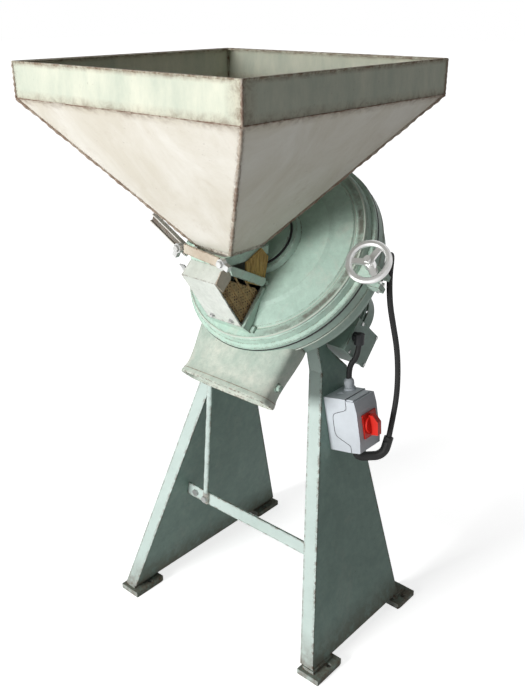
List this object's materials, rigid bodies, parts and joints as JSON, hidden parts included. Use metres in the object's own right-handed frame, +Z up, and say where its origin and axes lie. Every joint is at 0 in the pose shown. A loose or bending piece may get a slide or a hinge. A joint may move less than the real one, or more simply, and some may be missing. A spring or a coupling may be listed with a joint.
{
  "type": "grain mill",
  "caption": "Floor-standing motor-driven grain mill: square hopper over a tilted drum with hinged cover, slide gate, outlet spout, leaning sheet legs and a leg-mounted switch.",
  "frame": {"origin": "on the floor, under the middle of the machine's overall box", "axes": "+Z up, +X to the operator's right, -Y towards the operator, who stands on the outlet spout's side"},
  "size_m": [0.656, 0.7639, 1.386],
  "materials": {
    "hopper_paint": "worn pale green-grey paint with rust at the edges",
    "pale_paint": "worn off-white paint",
    "cover_paint": "satin grey-green paint",
    "drum_paint": "satin grey-green paint, dusty",
    "leg_paint": "satin grey-green paint, scratched",
    "motor_paint": "satin grey-green paint",
    "weathered_steel": "weathered steel with rust speckle",
    "gate_steel": "dull worn steel",
    "zinc_steel": "zinc-plated steel",
    "cast_wheel": "cast aluminium, satin",
    "black_rubber": "matte",
    "black_plastic": "matte",
    "box_plastic": "light grey, semi-gloss",
    "red_plastic": "red, semi-gloss",
    "winding": "varnished copper winding on a steel core",
    "screen_rust": "brown oxidised steel",
    "ochre_board": "raw board"
  },
  "bodies": {
    "stand": {"drum_housing": "drum_paint", "spout": "drum_paint", "hinge_pin": "zinc_steel", "clamp_lug": "drum_paint", "clamp_pins": "zinc_steel", "screen": "gate_steel", "motor_flange": "motor_paint", "flange_bolts": "zinc_steel", "motor_frame": "motor_paint", "stator": "winding", "rear_shield": "motor_paint", "fan_cowl": "motor_paint", "terminal_box": "motor_paint", "terminal_lid": "motor_paint", "terminal_screws": "zinc_steel", "motor_elbow": "black_plastic", "motor_gland": "black_plastic", "motor_lead": "black_rubber", "supply_lead": "black_rubber", "supply_elbow": "black_rubber", "leg_right": "leg_paint", "leg_left": "leg_paint", "feet_left": "leg_paint", "feet_right": "leg_paint", "crossbar": "leg_paint", "bar_bolts": "zinc_steel", "stay_rod": "gate_steel", "switch_base": "box_plastic", "switch_cover": "box_plastic", "switch_latch": "box_plastic", "switch_plate": "red_plastic", "switch_contacts": "black_plastic", "switch_gland": "box_plastic"},
    "cover_unit": {"cover": "cover_paint", "inlet_curb": "cover_paint", "boss_cap": "cover_paint", "boss_seal": "black_rubber", "cover_seal": "black_rubber", "hopper": "hopper_paint", "hopper_rim": "hopper_paint", "gate_frame": "cover_paint", "chute": "pale_paint", "chute_sieve": "screen_rust", "guard_strip": "weathered_steel", "side_board": "ochre_board", "side_bar": "cover_paint", "front_strip": "weathered_steel", "strip_eyes": "zinc_steel", "eye_bolts": "zinc_steel", "wing_stud": "zinc_steel"},
    "gate": {"slide_gate": "gate_steel"},
    "wheel": {"handwheel": "cast_wheel"},
    "rotor_unit": {"rotor": "gate_steel", "beaters": "gate_steel", "motor_shaft": "gate_steel", "motor_core": "gate_steel", "cooling_fan": "black_plastic"},
    "knob": {"switch_knob": "red_plastic"},
    "wing": {"wing_nut": "zinc_steel"}
  },
  "joints": [
    {"name": "cover_hinge", "type": "hinge", "parent": "stand", "child": "cover_unit", "pos_m": [-0.264, 0.06, 0.96765], "axis": [0, -0.6626, -0.749], "range_deg": [0, 100]},
    {"name": "gate_slide", "type": "slide", "parent": "cover_unit", "child": "gate", "axis": [-1, 0, 0], "range_m": [0, 0.095]},
    {"name": "handwheel_spin", "type": "hinge", "parent": "cover_unit", "child": "wheel", "pos_m": [0.278, 0.01057, 1.01138], "axis": [0.2079, -0.7326, 0.6481], "continuous": true},
    {"name": "rotor_spin", "type": "hinge", "parent": "stand", "child": "rotor_unit", "pos_m": [0, 0.10045, 0.93187], "axis": [0, -0.749, 0.6626], "continuous": true},
    {"name": "switch_turn", "type": "hinge", "parent": "stand", "child": "knob", "pos_m": [0.25344, 0.099, 0.59769], "axis": [0.9806, 0, 0.1961], "range_deg": [0, 90]},
    {"name": "wing_nut_spin", "type": "hinge", "parent": "cover_unit", "child": "wing", "pos_m": [-0.0665, -0.16, 0.962], "axis": [-1, 0, 0], "continuous": true}
  ]
}
